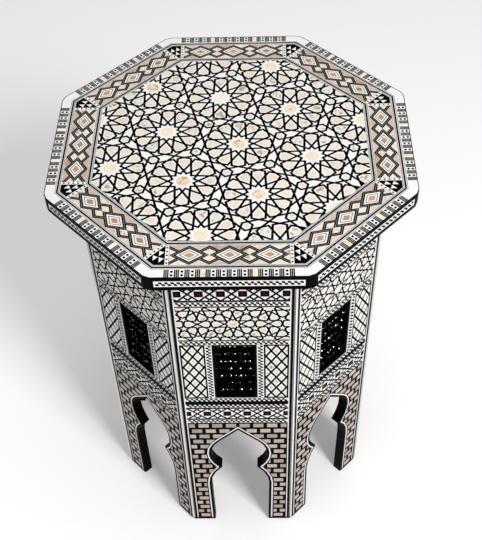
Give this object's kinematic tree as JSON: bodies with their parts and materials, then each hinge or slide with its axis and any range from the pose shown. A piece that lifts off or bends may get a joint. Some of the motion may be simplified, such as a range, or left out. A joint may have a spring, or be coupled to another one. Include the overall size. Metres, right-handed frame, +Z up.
{
  "type": "inlaid side table",
  "caption": "Octagonal side table with a star-pattern inlaid top, black lattice windows and cusped arches between its feet; holds a tray, lamp or drinks.",
  "frame": {"origin": "on the floor, under the middle of the top", "axes": "+Z up; -Y is the normal of side 1, the side that faces the picture's camera; +X to its right"},
  "size_m": [0.36, 0.36, 0.508],
  "materials": {
    "lacquered_board": "black lacquer, satin",
    "black_inlay": "black, polished",
    "turned_wood": "black gloss",
    "bone": "polished, lacquered",
    "pearl": "mother-of-pearl, lacquered",
    "red_frieze": "bone, black and dark red, lacquered",
    "brick_inlay": "pearl bricks in black, lacquered",
    "grey_stringing": "pewter grey and black lines",
    "plain_wood": "sawn, unfinished"
  },
  "bodies": {
    "root": {"arch_edging": "black_inlay", "arch_stringing": "bone", "black_bands": "black_inlay", "brick_fields": "brick_inlay", "check_strips": "bone", "corner_blocks": "plain_wood", "corner_strip_1": "grey_stringing", "corner_strip_2": "grey_stringing", "corner_strip_3": "grey_stringing", "corner_strip_4": "grey_stringing", "corner_strip_5": "grey_stringing", "corner_strip_6": "grey_stringing", "corner_strip_7": "grey_stringing", "corner_strip_8": "grey_stringing", "diaper_panels": "pearl", "lower_friezes": "red_frieze", "side_panel_1": "lacquered_board", "side_panel_2": "lacquered_board", "side_panel_3": "lacquered_board", "side_panel_4": "lacquered_board", "side_panel_5": "lacquered_board", "side_panel_6": "lacquered_board", "side_panel_7": "lacquered_board", "side_panel_8": "lacquered_board", "star_bands": "pearl", "top_board": "lacquered_board", "top_corner_kites": "black_inlay", "top_diamond_bands": "pearl", "top_dotted_strips": "bone", "top_edge_strips": "bone", "top_inner_stringing": "grey_stringing", "top_outer_stringing": "grey_stringing", "top_rails": "plain_wood", "top_rim_corners": "bone", "top_rim_strips": "bone", "top_star_field": "pearl", "upper_friezes": "red_frieze", "window_backs": "lacquered_board", "window_frames": "turned_wood", "window_lattice_1": "turned_wood", "window_lattice_2": "turned_wood", "window_lattice_3": "turned_wood", "window_lattice_4": "turned_wood", "window_lattice_5": "turned_wood", "window_lattice_6": "turned_wood", "window_lattice_7": "turned_wood", "window_lattice_8": "turned_wood", "window_strips": "bone"}
  },
  "joints": []
}
